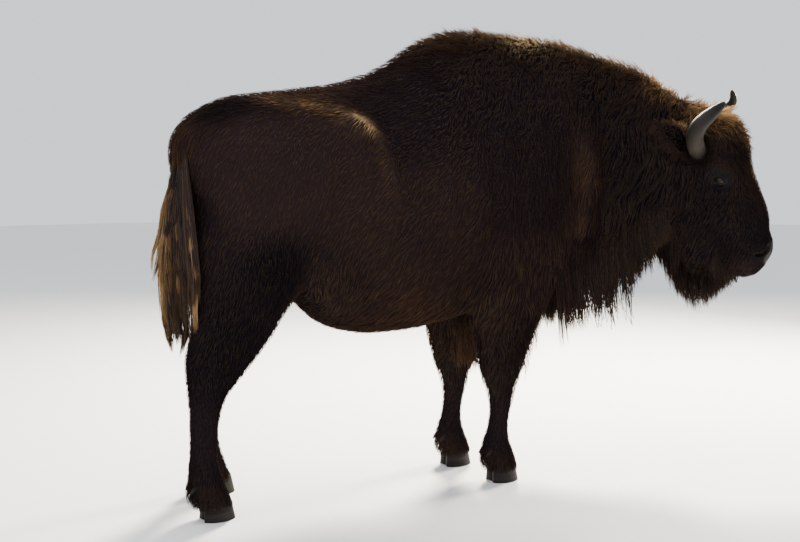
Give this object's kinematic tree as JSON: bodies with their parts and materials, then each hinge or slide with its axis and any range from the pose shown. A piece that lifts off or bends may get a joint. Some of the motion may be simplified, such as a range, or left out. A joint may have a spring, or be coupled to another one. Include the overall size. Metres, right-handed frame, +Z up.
{
  "type": "wisent",
  "caption": "Life-size still model of a standing wisent, a shaggy humped wild ox with short curved horns, a beard and a throat mane, its head turned to its right.",
  "frame": {"origin": "on the ground, under the middle of the model's box", "axes": "+X the way the trunk looks, +Y to the animal's left, +Z up"},
  "size_m": [2.383, 0.8737, 1.7536],
  "materials": {
    "coat": "thick brown winter hair, short and flat on the haunch, woolly on the shoulder and hump",
    "dark_coat": "near-black brown hair with golden tips on the crown and nape",
    "long_hair": "long hanging hair of the throat, chin and tail",
    "horn": "dark grey keratin, grey-beige at the root and pale at the tip",
    "hoof": "dark keratin",
    "eye": "wet dark brown eye"
  },
  "bodies": {
    "root": {"trunk": "coat", "neck": "dark_coat", "throat_mane": "long_hair", "head": "dark_coat", "chin_beard": "long_hair", "tail": "coat", "tail_tassel": "long_hair", "foreleg_right": "coat", "foreleg_left": "coat", "hindleg_right": "coat", "hindleg_left": "coat", "ear_right": "coat", "ear_left": "coat", "eye_right": "eye", "eye_left": "eye", "horn_right": "horn", "horn_left": "horn", "claw_foreleg_right_right": "hoof", "claw_foreleg_right_left": "hoof", "claw_foreleg_left_right": "hoof", "claw_foreleg_left_left": "hoof", "claw_hindleg_right_right": "hoof", "claw_hindleg_right_left": "hoof", "claw_hindleg_left_right": "hoof", "claw_hindleg_left_left": "hoof", "dewclaw_foreleg_right_right": "hoof", "dewclaw_foreleg_right_left": "hoof", "dewclaw_foreleg_left_right": "hoof", "dewclaw_foreleg_left_left": "hoof", "dewclaw_hindleg_right_right": "hoof", "dewclaw_hindleg_right_left": "hoof", "dewclaw_hindleg_left_right": "hoof", "dewclaw_hindleg_left_left": "hoof"}
  },
  "joints": []
}
